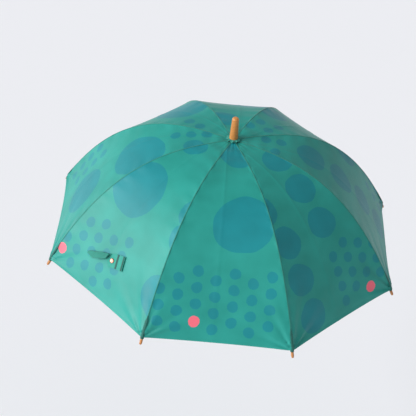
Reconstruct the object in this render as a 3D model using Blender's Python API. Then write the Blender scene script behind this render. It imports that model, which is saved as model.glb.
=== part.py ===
# A child's stick umbrella, open: wooden shaft and crook handle, eight jointed ribs with stretchers,
# a sliding runner and an eight-gore canopy. Metres, +Z up, origin at the middle of the grip.
from math import cos, pi, radians, sin, sqrt, tan

import bmesh
import bpy
import numpy as np

for old in list(bpy.data.objects):
    bpy.data.objects.remove(old, do_unlink=True)

# ---- driving dimensions -------------------------------------------------------------------------
GAP = 0.0003  # clearance left between neighbouring pieces
RIBS = 8
RIB_STEP = radians(45)
FIRST_RIB = radians(157.5)
HALF = RIB_STEP / 2

CROWN_Z = 0.545  # height of the cloth at the crown
CANOPY_R = 0.398  # shaft axis to the cloth corner at a rib tip
CANOPY_DROP = 0.2458
CANOPY_POWER = 2.927
CLOTH_T = 0.0005
CLOTH_HOLE_R = 0.0066
PANEL_SAG = 0.008  # inward bow of a panel's middle, as a share of the radius
HEM_ARCH = 0.0008  # the hem's middle is cut this much shorter than its corners
SPLIT_SHARE = 0.46  # the canopy folds across its gores at this share of the radius

SHAFT_R = 0.005
SHAFT_LOW = 0.016
TENON_R = 0.0040
RIB_ROD_R = 0.0015
RIB_OFFSET = 0.0033  # rib centre line below the cloth
CROWN_PIVOT = (0.0095, -0.0075)  # radius, and height from the crown
BRACKET_BACK = 0.011  # stretcher joint, inward from the rib's bend
BRACKET_DEPTH = 0.0058
KNUCKLE_GAP = 0.0009  # half the space left at the rib's bend
STRETCHER_LENGTH = 0.205
RUNNER_PIVOT_R = 0.0092
STRETCHER_R = 0.0011
PLATE_HALF = 0.0009
TAB_HALF = 0.0007
TINE_IN = 0.0011
TINE_OUT = 0.0019

NOTCH_R = 0.012
NOTCH_TOP = -0.0022
NOTCH_LOW = -0.0125
SLOT_HALF = 0.0013
SLOT_FLOOR_R = 0.0069
RUNNER_HEAD_R = 0.0115
RUNNER_HEAD_HALF = 0.0048
SLEEVE_R = 0.0068
SLEEVE_LENGTH = 0.046
FLARE_R = 0.0092

FERRULE_BASE_R = 0.0092
FERRULE_TIP_R = 0.0072
FERRULE_LENGTH = 0.0562
RUFFLE_IN = 0.0098
RUFFLE_OUT = 0.0136
RUFFLE_HEIGHT = 0.0048

TIP_R = 0.0030
TIP_LENGTH = 0.0145

GRIP_R = 0.0096
GRIP_TOP = 0.047
GRIP_LOW = -0.026
CROOK_R = 0.0300
CROOK_SWEEP = radians(196)
COLLAR_R = 0.0112
COLLAR_HEIGHT = 0.0120

STRAP_GORE = 1
STRAP_WIDTH = 0.030
STRAP_T = 0.0008
SNAP_R = 0.0051
SNAP_T = 0.0022


# ---- materials ----------------------------------------------------------------------------------
def material(name, colour, roughness, metallic=0.0):
    made = bpy.data.materials.new(name)
    made.use_nodes = True
    shader = made.node_tree.nodes["Principled BSDF"]
    shader.inputs["Base Color"].default_value = (*colour, 1.0)
    shader.inputs["Roughness"].default_value = roughness
    shader.inputs["Metallic"].default_value = metallic
    made.diffuse_color = (*colour, 1.0)
    return made


CLOTH = material("canopy_cloth", (0.045, 0.34, 0.27), 0.75)
WOOD = material("turned_wood", (0.56, 0.25, 0.07), 0.45)
STEEL = material("frame_steel", (0.62, 0.62, 0.64), 0.35, 0.9)
FIBRE = material("rib_fibreglass", (0.06, 0.06, 0.065), 0.4)
PLASTIC = material("notch_plastic", (0.05, 0.05, 0.055), 0.5)
ROSE = material("snap_metal", (0.72, 0.42, 0.33), 0.3, 0.9)


# ---- shape helpers ------------------------------------------------------------------------------
def mesh_object(name, points, faces, finish):
    mesh = bpy.data.meshes.new(name)
    mesh.from_pydata([tuple(map(float, p)) for p in points], [], [tuple(f) for f in faces])
    solid = bmesh.new()
    solid.from_mesh(mesh)
    bmesh.ops.recalc_face_normals(solid, faces=solid.faces)
    bmesh.ops.triangulate(solid, faces=[f for f in solid.faces if len(f.verts) > 4])
    solid.to_mesh(mesh)
    solid.free()
    made = bpy.data.objects.new(name, mesh)
    bpy.context.scene.collection.objects.link(made)
    made.data.materials.append(finish)
    return made


def turned(name, profile, sides, finish, closed=False):
    """A profile of (radius, height) spun round the shaft axis; closed joins its last point to its first."""
    points = []
    rows = []
    for radius, height in profile:
        if radius == 0.0:
            rows.append([len(points)] * sides)
            points.append((0.0, 0.0, height))
            continue
        rows.append(list(range(len(points), len(points) + sides)))
        for i in range(sides):
            angle = 2 * pi * (i + 0.5) / sides
            points.append((radius * cos(angle), radius * sin(angle), height))
    if closed:
        rows.append(rows[0])
    faces = []
    for low, high in zip(rows, rows[1:]):
        for i in range(sides):
            j = (i + 1) % sides
            corners = [low[i], low[j], high[j], high[i]]
            faces.append(list(dict.fromkeys(corners)))
    if not closed and profile[0][0] > 0:
        faces.append(rows[0][::-1])
    if not closed and profile[-1][0] > 0:
        faces.append(rows[-1])
    return mesh_object(name, points, faces, finish)


def spun(points, angle):
    """Points in a rib's own plane (radial, across, up) turned to stand at that angle round the shaft."""
    radial, across, up = np.asarray(points, float).T
    return np.column_stack(
        [
            radial * cos(angle) - across * sin(angle),
            radial * sin(angle) + across * cos(angle),
            up,
        ]
    )


def lofted(name, path, half_across, half_deep, angle, finish, sides=8):
    """A bar along a path of (radius, height), with an oval section at each point."""
    path = np.asarray(path, float)
    along = np.gradient(path, axis=0)
    along /= np.linalg.norm(along, axis=1)[:, None]
    normal = np.column_stack([-along[:, 1], along[:, 0]])
    points = []
    for centre, up, wide, deep in zip(path, normal, half_across, half_deep):
        for i in range(sides):
            turn = 2 * pi * (i + 0.5) / sides
            scale = 1 / cos(pi / sides)
            offset = up * deep * sin(turn) * scale
            points.append((centre[0] + offset[0], wide * cos(turn) * scale, centre[1] + offset[1]))
    faces = []
    for row in range(len(path) - 1):
        for i in range(sides):
            j = (i + 1) % sides
            a, b = row * sides, (row + 1) * sides
            faces.append([a + i, a + j, b + j, b + i])
    faces.append(list(range(sides))[::-1])
    faces.append(list(range(len(points) - sides, len(points))))
    return mesh_object(name, spun(points, angle), faces, finish)


def plate(name, outline, low, high, angle, finish):
    """A flat plate with an outline of (radius, height), from low to high across the rib's plane."""
    count = len(outline)
    points = [(r, low, z) for r, z in outline] + [(r, high, z) for r, z in outline]
    faces = [list(range(count))[::-1], list(range(count, 2 * count))]
    for i in range(count):
        j = (i + 1) % count
        faces.append([i, j, count + j, count + i])
    return mesh_object(name, spun(points, angle), faces, finish)


def combine(target, other, operation):
    step = target.modifiers.new(operation.lower(), "BOOLEAN")
    step.operation = operation
    step.solver = "EXACT"
    step.object = other
    graph = bpy.context.evaluated_depsgraph_get()
    done = bpy.data.meshes.new_from_object(target.evaluated_get(graph))
    target.modifiers.clear()
    target.data = done
    bpy.data.objects.remove(other, do_unlink=True)


def slotted(target, low, high, reach):
    """Cuts one radial slot per rib into a notched ring."""
    for k in range(RIBS):
        outline = [(SLOT_FLOOR_R, low), (reach, low), (reach, high), (SLOT_FLOOR_R, high)]
        cutter = plate("cutter", outline, -SLOT_HALF, SLOT_HALF, FIRST_RIB + k * RIB_STEP, PLASTIC)
        combine(target, cutter, "DIFFERENCE")


# ---- canopy and rib curves ----------------------------------------------------------------------
def cloth_z(r):
    return CROWN_Z - CANOPY_DROP * (r / CANOPY_R) ** CANOPY_POWER


def cloth_slope(r):
    return CANOPY_DROP * CANOPY_POWER / CANOPY_R * (r / CANOPY_R) ** (CANOPY_POWER - 1)


def below_cloth(r, depth):
    """A point of a rib's plane at that depth below the cloth, square to it."""
    slope = cloth_slope(r)
    length = sqrt(1 + slope * slope)
    return np.array([r - depth * slope / length, cloth_z(r) - depth / length])


def unit(vector):
    return vector / np.linalg.norm(vector)


PIVOT = np.array([CROWN_PIVOT[0], CROWN_Z + CROWN_PIVOT[1]])
BEND_R = SPLIT_SHARE * CANOPY_R
BEND = below_cloth(BEND_R, RIB_OFFSET)
BRACKET = below_cloth(BEND_R - BRACKET_BACK, RIB_OFFSET + BRACKET_DEPTH)
RUNNER_PIVOT_Z = BRACKET[1] - sqrt(STRETCHER_LENGTH**2 - (BRACKET[0] - RUNNER_PIVOT_R) ** 2)
RUNNER_PIVOT = np.array([RUNNER_PIVOT_R, RUNNER_PIVOT_Z])


# ---- shaft, crown and ferrule -------------------------------------------------------------------
shaft = turned(
    "shaft",
    [
        (SHAFT_R, SHAFT_LOW),
        (SHAFT_R, CROWN_Z + 0.0010),
        (TENON_R, CROWN_Z + 0.0012),
        (TENON_R, CROWN_Z + 0.0180),
    ],
    24,
    WOOD,
)

crown_notch = turned(
    "crown_notch",
    [
        (SHAFT_R + GAP, CROWN_Z + NOTCH_LOW),
        (NOTCH_R - 0.001, CROWN_Z + NOTCH_LOW),
        (NOTCH_R, CROWN_Z + NOTCH_LOW + 0.001),
        (NOTCH_R, CROWN_Z + NOTCH_TOP - 0.001),
        (NOTCH_R - 0.001, CROWN_Z + NOTCH_TOP),
        (SHAFT_R + GAP, CROWN_Z + NOTCH_TOP),
    ],
    24,
    PLASTIC,
    closed=True,
)
slotted(crown_notch, CROWN_Z + NOTCH_LOW - 0.002, CROWN_Z + NOTCH_TOP - 0.0022, 0.016)

# The ferrule is turned: a narrow foot, a long taper and a rounded nose, with a socket for the tenon.
FERRULE_FOOT = CROWN_Z + 0.0018
FERRULE_TOP = CROWN_Z + FERRULE_LENGTH
nose = [
    (FERRULE_TIP_R * cos(a), FERRULE_TOP - FERRULE_TIP_R * 0.7 * (1 - sin(a)))
    for a in np.linspace(0, pi / 2, 6)[:-1]
]
ferrule = turned(
    "ferrule",
    [
        (0.0, CROWN_Z + 0.0186),
        (TENON_R + GAP, CROWN_Z + 0.0184),
        (TENON_R + GAP, FERRULE_FOOT),
        (FERRULE_BASE_R - 0.0006, FERRULE_FOOT),
        (FERRULE_BASE_R, FERRULE_FOOT + 0.0006),
        (FERRULE_BASE_R - 0.0006, CROWN_Z + 0.018),
        *nose,
        (0.0, FERRULE_TOP),
    ],
    28,
    WOOD,
)

ruffle_rows = []
RUFFLE_SIDES = 48
ruffle_low = CROWN_Z + 0.0012
points = []
for i in range(RUFFLE_SIDES):
    angle = 2 * pi * i / RUFFLE_SIDES
    wave = 0.0011 * cos(RUFFLE_SIDES / 4 * angle)
    for radius, height in (
        (RUFFLE_IN, ruffle_low + 0.0002),
        (RUFFLE_OUT + wave, ruffle_low - 0.0003 + 0.0004 * (1 + wave / 0.0011)),
        (RUFFLE_OUT + wave - 0.0004, ruffle_low + 0.0016 + 0.5 * wave),
        (RUFFLE_IN + 0.0009, ruffle_low + RUFFLE_HEIGHT),
        (RUFFLE_IN, ruffle_low + RUFFLE_HEIGHT),
    ):
        points.append((radius * cos(angle), radius * sin(angle), height))
faces = []
for i in range(RUFFLE_SIDES):
    j = (i + 1) % RUFFLE_SIDES
    for a in range(5):
        b = (a + 1) % 5
        faces.append([5 * i + a, 5 * i + b, 5 * j + b, 5 * j + a])
crown_ruffle = mesh_object("crown_ruffle", points, faces, CLOTH)


# ---- handle -------------------------------------------------------------------------------------
def crook_path():
    path = [(0.0, GRIP_TOP), (0.0, 0.010), (0.0, GRIP_LOW)]
    for turn in np.linspace(0, CROOK_SWEEP, 17)[1:]:
        path.append((CROOK_R - CROOK_R * cos(turn), GRIP_LOW - CROOK_R * sin(turn)))
    return path


path = np.array(crook_path())
radii = np.full(len(path), GRIP_R)
end_way = unit(path[-1] - path[-2])
path = np.vstack([path, path[-1] + end_way * 0.0035, path[-1] + end_way * 0.0055])
radii = np.concatenate([radii, [GRIP_R * 0.82, GRIP_R * 0.45]])
handle = lofted("handle", path, radii, radii, radians(90), WOOD, sides=14)
socket = turned(
    "socket",
    [(SHAFT_R + GAP, SHAFT_LOW - GAP), (SHAFT_R + GAP, GRIP_TOP + 0.01)],
    24,
    WOOD,
)
combine(handle, socket, "DIFFERENCE")

collar_low = GRIP_TOP + GAP
handle_collar = turned(
    "handle_collar",
    [
        (SHAFT_R + GAP, collar_low),
        (COLLAR_R - 0.0006, collar_low),
        (COLLAR_R, collar_low + 0.0008),
        (COLLAR_R - 0.0008, collar_low + 0.007),
        (SHAFT_R + 0.0022, collar_low + COLLAR_HEIGHT),
        (SHAFT_R + GAP, collar_low + COLLAR_HEIGHT),
    ],
    24,
    STEEL,
    closed=True,
)


# ---- runner and catches -------------------------------------------------------------------------
head_top = RUNNER_PIVOT_Z + RUNNER_HEAD_HALF
head_low = RUNNER_PIVOT_Z - RUNNER_HEAD_HALF
sleeve_low = head_low - SLEEVE_LENGTH
runner = turned(
    "runner",
    [
        (SHAFT_R + GAP, sleeve_low),
        (FLARE_R - 0.0006, sleeve_low),
        (FLARE_R, sleeve_low + 0.0008),
        (FLARE_R - 0.0004, sleeve_low + 0.0030),
        (SLEEVE_R, sleeve_low + 0.0065),
        (SLEEVE_R, head_low),
        (RUNNER_HEAD_R - 0.0008, head_low),
        (RUNNER_HEAD_R, head_low + 0.0008),
        (RUNNER_HEAD_R, head_top - 0.0008),
        (RUNNER_HEAD_R - 0.0008, head_top),
        (SHAFT_R + GAP, head_top),
    ],
    24,
    PLASTIC,
    closed=True,
)
slotted(runner, head_low - 0.0001, head_top + 0.003, 0.016)


def catch(name, foot, angle):
    """A sprung wire catch: a shallow triangle that stands out of the shaft under the runner."""
    outline = [
        (SHAFT_R + GAP, foot),
        (SHAFT_R + 0.0008, foot),
        (SHAFT_R + 0.0030, foot + 0.0170),
        (SHAFT_R + 0.0030, foot + 0.0190),
        (SHAFT_R + GAP, foot + 0.0196),
    ]
    return plate(name, outline, -0.0007, 0.0007, angle, STEEL)


top_catch = catch("top_catch", sleeve_low - GAP - 0.0200, radians(270))
low_catch = catch("low_catch", 0.0720, radians(270))


# ---- ribs, stretchers and tips ------------------------------------------------------------------
inner_rows = [PIVOT + np.array([-0.0016, 0.0]), PIVOT, PIVOT + np.array([0.0040, 0.0012])]
inner_wide = [PLATE_HALF * 0.9, PLATE_HALF, PLATE_HALF]
inner_deep = [0.0009, 0.0016, 0.0015]
for r in (0.0180, 0.0300, 0.0600, 0.0900, 0.1200, 0.1400, 0.1600, 0.1720):
    inner_rows.append(below_cloth(r, RIB_OFFSET))
    inner_wide.append(PLATE_HALF if r < 0.020 else RIB_ROD_R)
    inner_deep.append(RIB_ROD_R)
bend_way = unit(below_cloth(BEND_R + 0.002, RIB_OFFSET) - below_cloth(BEND_R - 0.002, RIB_OFFSET))
inner_rows.append(BEND - bend_way * KNUCKLE_GAP)
inner_wide.append(RIB_ROD_R)
inner_deep.append(RIB_ROD_R)

outer_rows = [BEND + bend_way * KNUCKLE_GAP]
for share in (0.52, 0.58, 0.64, 0.70, 0.75, 0.80, 0.85, 0.90, 0.95, 1.00):
    outer_rows.append(below_cloth(share * CANOPY_R, RIB_OFFSET))
outer_size = np.linspace(RIB_ROD_R, RIB_ROD_R * 0.8, len(outer_rows))
tip_way = unit(below_cloth(CANOPY_R, RIB_OFFSET) - below_cloth(0.985 * CANOPY_R, RIB_OFFSET))
tip_foot = below_cloth(CANOPY_R, RIB_OFFSET) + tip_way * GAP * 1.5

for k in range(RIBS):
    angle = FIRST_RIB + k * RIB_STEP
    number = k + 1
    rib_inner = lofted(f"rib_inner_{number}", inner_rows, inner_wide, inner_deep, angle, STEEL)
    tab_along = unit(below_cloth(BEND_R - 0.008, 0) - below_cloth(BEND_R - 0.014, 0))
    tab_up = np.array([-tab_along[1], tab_along[0]])
    tab = []
    for a, b in ((-1.8, 5.0), (-1.8, -0.7), (-0.9, -1.6), (0.9, -1.6), (1.8, -0.7), (1.8, 5.0)):
        tab.append(tuple(BRACKET + tab_along * a * 0.001 + tab_up * b * 0.001))
    combine(rib_inner, plate("tab", tab, -TAB_HALF, TAB_HALF, angle, STEEL), "UNION")

    lofted(f"rib_outer_{number}", outer_rows, outer_size, outer_size, angle, FIBRE)

    way = unit(BRACKET - RUNNER_PIVOT)
    side = np.array([-way[1], way[0]])
    bar_rows = [
        RUNNER_PIVOT - way * 0.0013,
        RUNNER_PIVOT,
        RUNNER_PIVOT + way * 0.0070,
        RUNNER_PIVOT + way * 0.0090,
        BRACKET - way * 0.0090,
        BRACKET - way * 0.0062,
        BRACKET - way * 0.0040,
    ]
    bar_wide = [PLATE_HALF * 0.9, PLATE_HALF, PLATE_HALF, STRETCHER_R, STRETCHER_R, TINE_OUT, TINE_OUT]
    bar_deep = [0.0008, 0.0013, 0.0012, STRETCHER_R, STRETCHER_R, 0.0011, 0.0010]
    stretcher = lofted(f"stretcher_{number}", bar_rows, bar_wide, bar_deep, angle, STEEL)
    for sign in (-1, 1):
        tine = []
        for a, b in ((-5.2, -0.9), (0.8, -1.2), (1.6, -0.5), (1.6, 0.5), (0.8, 1.2), (-5.2, 0.9)):
            tine.append(tuple(BRACKET + way * a * 0.001 + side * b * 0.001))
        low, high = sorted((sign * TINE_IN, sign * (TINE_OUT - 0.0001)))
        combine(stretcher, plate("tine", tine, low, high, angle, STEEL), "UNION")

    tip_rows = [tip_foot + tip_way * TIP_LENGTH * s for s in (0.0, 0.08, 0.55, 0.80, 0.93, 1.0)]
    tip_size = TIP_R * np.array([0.80, 0.92, 1.0, 0.93, 0.70, 0.36])
    lofted(f"rib_tip_{number}", tip_rows, tip_size, tip_size, angle, WOOD, sides=10)


# ---- canopy gores, strap and snap ---------------------------------------------------------------
def gore_point(r, across, lift):
    """A point of a gore in its own plane: r is the corner radius of its row, across runs from -1 to 1."""
    half_width = r * sin(HALF)
    bow = PANEL_SAG * r * (1 - across * across)
    slope = cloth_slope(r)
    length = sqrt(1 + slope * slope)
    inward = bow - lift
    radial = r * cos(HALF) - inward * slope / length
    return (radial, across * half_width, cloth_z(r) - inward / length)


def gore_rows(name, radii, hem, angle):
    """A thin closed shell over the rows; the gap keeps it clear of the gore next to it."""
    columns = np.array([-1.0, -0.6, -0.2, 0.2, 0.6, 1.0])
    points = []
    for lift in (CLOTH_T / 2, -CLOTH_T / 2):
        for i, r in enumerate(radii):
            for across in columns:
                row = r
                if hem and i == len(radii) - 1:
                    row = r - HEM_ARCH * (1 - across * across)
                edge = 1 - (GAP * 0.9) / (row * sin(HALF))
                points.append(gore_point(row, across * edge, lift))
    wide, tall = len(columns), len(radii)
    sheet = wide * tall
    faces = []
    for i in range(tall - 1):
        for j in range(wide - 1):
            a = i * wide + j
            faces.append([a, a + 1, a + wide + 1, a + wide])
            faces.append([sheet + a, sheet + a + wide, sheet + a + wide + 1, sheet + a + 1])
    rim = [j for j in range(wide)]
    rim += [i * wide + wide - 1 for i in range(1, tall)]
    rim += [(tall - 1) * wide + j for j in range(wide - 2, -1, -1)]
    rim += [i * wide for i in range(tall - 2, 0, -1)]
    for a, b in zip(rim, rim[1:] + rim[:1]):
        faces.append([a, sheet + a, sheet + b, b])
    return mesh_object(name, spun(points, angle), faces, CLOTH)


upper_radii = [CLOTH_HOLE_R / cos(HALF) + 0.0004, 0.022, 0.055, 0.095, 0.125, 0.155, BEND_R - GAP / 2]
lower_radii = [BEND_R + GAP / 2, 0.215, 0.245, 0.275, 0.305, 0.330, 0.355, 0.378, CANOPY_R - 0.0005]
for k in range(RIBS):
    angle = FIRST_RIB + HALF + k * RIB_STEP
    gore_rows(f"gore_upper_{k + 1}", upper_radii, False, angle)
    gore_rows(f"gore_lower_{k + 1}", lower_radii, True, angle)


def on_gore(r, across, lift):
    return spun([gore_point(r, across, lift)], FIRST_RIB + HALF + STRAP_GORE * RIB_STEP)[0]


# Flat positions on the strap's gore are (distance from the crown down its middle, distance across).
row_r = np.linspace(0.004, CANOPY_R, 800)
row_s = np.cumsum(np.hypot(np.gradient(row_r) * cos(HALF), np.gradient(cloth_z(row_r))))


def on_flat(s, t, lift):
    r = float(np.interp(s, row_s, row_r))
    return on_gore(r, t / (r * sin(HALF)), lift)


# The closing strap lies across one gore, sewn down at one end, with a press stud near its middle.
STRAP_SEWN = np.array([0.3766, 0.0303])
STRAP_FREE = np.array([0.403, -0.064])
STRAP_LIFT = 0.0013
strap_way = unit(STRAP_FREE - STRAP_SEWN)
strap_side = np.array([-strap_way[1], strap_way[0]])
ribbon = []
for share in np.linspace(0, 1, 7):
    middle = STRAP_SEWN + (STRAP_FREE - STRAP_SEWN) * share
    for lift in (STRAP_LIFT, STRAP_LIFT + STRAP_T):
        for side in (-1, 0, 1):
            flat = middle + strap_side * side * STRAP_WIDTH / 2 * (0.7 if share == 1 else 1)
            ribbon.append(on_flat(flat[0], flat[1], lift))
ring = [0, 1, 2, 5, 4, 3]
faces = [ring[::-1]]
for i in range(6):
    for a, b in zip(ring, ring[1:] + ring[:1]):
        faces.append([6 * i + a, 6 * i + b, 6 * i + 6 + b, 6 * i + 6 + a])
faces.append([36 + a for a in ring])
strap = mesh_object("strap", ribbon, faces, CLOTH)

SNAP_AT = (0.3862, 0.0006)
base = on_flat(*SNAP_AT, STRAP_LIFT + STRAP_T + 0.0009)
up = unit(on_flat(*SNAP_AT, 0.01) - on_flat(*SNAP_AT, 0.0))
first = unit(np.cross(up, [0.0, 0.0, 1.0]))
second = np.cross(up, first)
points = []
SNAP_SIDES = 20
for radius, height in ((0.9, 0.0), (1.0, 0.25), (0.95, 0.7), (0.6, 1.0)):
    for i in range(SNAP_SIDES):
        turn = 2 * pi * i / SNAP_SIDES
        points.append(
            base + up * height * SNAP_T + (first * cos(turn) + second * sin(turn)) * radius * SNAP_R
        )
faces = [list(range(SNAP_SIDES))[::-1], list(range(3 * SNAP_SIDES, 4 * SNAP_SIDES))]
for ring in range(3):
    for i in range(SNAP_SIDES):
        j = (i + 1) % SNAP_SIDES
        a = ring * SNAP_SIDES
        faces.append([a + i, a + j, a + SNAP_SIDES + j, a + SNAP_SIDES + i])
snap = mesh_object("snap", points, faces, ROSE)
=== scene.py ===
# A child's stick umbrella, open, put together in the order that it is made: stick, frame, canopy, trim.
from math import cos, pi, radians, sin, sqrt

import bmesh
import bpy
import numpy as np
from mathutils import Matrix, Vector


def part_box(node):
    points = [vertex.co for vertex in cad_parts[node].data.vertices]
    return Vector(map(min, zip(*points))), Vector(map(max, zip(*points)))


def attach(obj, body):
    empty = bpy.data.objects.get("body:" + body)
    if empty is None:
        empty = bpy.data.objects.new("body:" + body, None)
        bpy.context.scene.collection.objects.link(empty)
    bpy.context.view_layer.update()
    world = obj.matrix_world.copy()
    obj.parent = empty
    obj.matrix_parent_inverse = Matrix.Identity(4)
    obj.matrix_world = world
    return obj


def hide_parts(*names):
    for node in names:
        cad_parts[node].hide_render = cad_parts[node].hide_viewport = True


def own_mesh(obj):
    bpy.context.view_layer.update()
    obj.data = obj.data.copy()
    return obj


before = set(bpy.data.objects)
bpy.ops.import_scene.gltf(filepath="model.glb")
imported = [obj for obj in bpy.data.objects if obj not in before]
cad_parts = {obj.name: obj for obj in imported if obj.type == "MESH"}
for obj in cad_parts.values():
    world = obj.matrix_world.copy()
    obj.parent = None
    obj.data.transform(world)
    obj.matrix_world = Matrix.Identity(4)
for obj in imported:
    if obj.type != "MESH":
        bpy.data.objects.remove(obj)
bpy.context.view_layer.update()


# ---- Studio ---------------------------------------------------------------------------------------
# A pale seamless floor far below, as under a held umbrella, with broad soft light from two windows on
# the left and an even white fill. It isn't part of the object.
def linear(code):
    """An sRGB hex colour as linear red, green, blue, alpha."""
    values = [int(code[i : i + 2], 16) / 255 for i in (1, 3, 5)]
    return [v / 12.92 if v <= 0.04045 else ((v + 0.055) / 1.055) ** 2.4 for v in values] + [1.0]


def add_node(tree, kind, inputs=None, stops=(), **settings):
    """One node with its settings, and a colour ramp's stops. An input given as a socket is linked."""
    made = tree.nodes.new(kind)
    for key, value in settings.items():
        setattr(made, key, value)
    for place, (position, colour) in enumerate(stops):
        element = made.color_ramp.elements[place]
        element.position, element.color = position, colour
    for key, value in (inputs or {}).items():
        if isinstance(value, bpy.types.NodeSocket):
            tree.links.new(value, made.inputs[key])
        else:
            made.inputs[key].default_value = value
    return made


def new_material(name):
    """A material with only its output node in it, and that material's tree."""
    made = bpy.data.materials.new(name)
    made.use_nodes = True
    made.node_tree.nodes.clear()
    return made, made.node_tree


def finish_material(tree, look):
    """The material's last nodes: its shader, with that look, and its output."""
    shader = add_node(tree, "ShaderNodeBsdfPrincipled", look)
    add_node(tree, "ShaderNodeOutputMaterial", {"Surface": shader.outputs["BSDF"]})


floor_paint, tree = new_material("floor_paint")
finish_material(tree, {"Base Color": linear("#F4F5F9"), "Roughness": 0.95, "Specular IOR Level": 0.1})

FLOOR_Z, FLOOR_HALF = -0.75, 40
floor_mesh = bpy.data.meshes.new("floor")
ways = ((-1, -1), (1, -1), (1, 1), (-1, 1))
floor_mesh.from_pydata([(FLOOR_HALF * x, FLOOR_HALF * y, FLOOR_Z) for x, y in ways], [], [(0, 1, 2, 3)])
floor = bpy.data.objects.new("floor", floor_mesh)
bpy.context.scene.collection.objects.link(floor)
floor_mesh.materials.append(floor_paint)

world = bpy.data.worlds.new("studio_fill")
bpy.context.scene.world = world
world.use_nodes = True
fill = world.node_tree.nodes["Background"]
fill.inputs["Color"].default_value = linear("#F4F6FA")
fill.inputs["Strength"].default_value = 0.46

# Each window: name, strength, spread in degrees, colour, and its tilts about X and Y in degrees.
for label, energy, spread, colour, tilts in (
    ("window_light", 3.2, 38, (1.0, 0.985, 0.965), (24.7, -62.4)),
    ("side_window_light", 1.1, 60, (1.0, 1.0, 1.0), (-11.5, -78)),
):
    light = bpy.data.lights.new(label, "SUN")
    light.energy, light.angle, light.color = energy, radians(spread), colour
    light_object = bpy.data.objects.new(label, light)
    light_object.rotation_euler = (radians(tilts[0]), radians(tilts[1]), 0.0)
    bpy.context.scene.collection.objects.link(light_object)

camera_data = bpy.data.cameras.new("camera")
camera_data.lens = 109.3
camera_data.sensor_width = 36.0
camera = bpy.data.objects.new("camera", camera_data)
camera.location = (-0.0810, -2.1970, 2.0702)
camera.rotation_euler = (radians(51.908), radians(-4.555), radians(2.463))
bpy.context.scene.collection.objects.link(camera)
bpy.context.scene.camera = camera
bpy.context.scene.view_settings.view_transform = "Standard"


# ---- Shaft ----------------------------------------------------------------------------------------
# A 10 mm beech stick, lathe-turned and lacquered, with a tenon at its top for the spike. Its grain
# runs along it, in fine dark pores.
def mesh_piece(name, points, faces, finish, smooth=True):
    mesh = bpy.data.meshes.new(name)
    mesh.from_pydata([tuple(map(float, p)) for p in points], [], [tuple(map(int, f)) for f in faces])
    made = bpy.data.objects.new(name, mesh)
    bpy.context.scene.collection.objects.link(made)
    mesh.materials.append(finish)
    mesh.polygons.foreach_set("use_smooth", [smooth] * len(mesh.polygons))
    return made


def crease(piece, degrees):
    """Sharp edges where faces meet at more than that angle, smooth elsewhere."""
    mesh = piece.data
    solid = bmesh.new()
    solid.from_mesh(mesh)
    for edge in solid.edges:
        if len(edge.link_faces) == 2:
            edge.smooth = edge.calc_face_angle(0.0) < radians(degrees)
    for face in solid.faces:
        face.smooth = True
    solid.to_mesh(mesh)
    solid.free()


def unit(vector):
    return np.asarray(vector, float) / np.linalg.norm(vector)


def ring_faces(rows, sides):
    """Faces between rows of points that each go once round, then a cap at each end."""
    faces = []
    for row in range(rows - 1):
        a, b = row * sides, (row + 1) * sides
        for i in range(sides):
            j = (i + 1) % sides
            faces.append([a + i, a + j, b + j, b + i])
    last = (rows - 1) * sides
    return faces + [list(range(sides))[::-1], list(range(last, last + sides))]


def ring_points(centre, first, second, sides):
    """Points once round the centre, on the ellipse that has those two half axes."""
    turns = 2 * pi * np.arange(sides) / sides
    return list(centre + np.outer(np.cos(turns), first) + np.outer(np.sin(turns), second))


def ring_uvs(lengths, sides, step):
    """The flat map of those faces without the caps, with that step for each face on the way round."""
    uvs = []
    for low, high in zip(lengths, lengths[1:]):
        for i in range(sides):
            left, right = i * step, (i + 1) * step
            uvs += [(left, low), (right, low), (right, high), (left, high)]
    return uvs


def lengths_along(path):
    """How far along the path each of its points lies."""
    return np.concatenate([[0], np.cumsum(np.linalg.norm(np.diff(path, axis=0), axis=1))])


def add_uv(piece, layer_name, corners):
    layer = piece.data.uv_layers.new(name=layer_name)
    layer.data.foreach_set("uv", np.asarray(corners, np.float32).ravel())


def swept(name, path, radii, finish, sides=40, layer_name="grain"):
    """A round bar along a path of points, closed at its ends, with a flat map: round it and along it."""
    path = np.asarray(path, float)
    along = np.gradient(path, axis=0)
    along /= np.linalg.norm(along, axis=1)[:, None]
    side = np.cross(along[0], [0.0, 1.0, 0.0])
    if np.linalg.norm(side) < 0.1:
        side = np.cross(along[0], [1.0, 0.0, 0.0])
    points = []
    for centre, way, radius in zip(path, along, radii):
        side = unit(side - way * np.dot(side, way))
        points += ring_points(centre, radius * side, radius * np.cross(way, side), sides)
    widest = max(radii)
    grain = ring_uvs(lengths_along(path), sides, 2 * pi * widest / sides)
    cap = ring_points(np.zeros(2), [widest, 0.0], [0.0, widest], sides)
    piece = mesh_piece(name, points, ring_faces(len(path), sides), finish)
    add_uv(piece, layer_name, grain + cap[::-1] + cap)
    crease(piece, 38)
    return piece


def uneven(tree, flat, across, along, detail, roughness=0.5):
    """Noise over a flat map, with that many patches to the metre across and along."""
    place = add_node(tree, "ShaderNodeMapping", {"Vector": flat, "Scale": (across, along, 1.0)})
    look = {"Vector": place.outputs["Vector"], "Scale": 1.0, "Detail": detail, "Roughness": roughness}
    return add_node(tree, "ShaderNodeTexNoise", look).outputs["Fac"]


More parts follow.
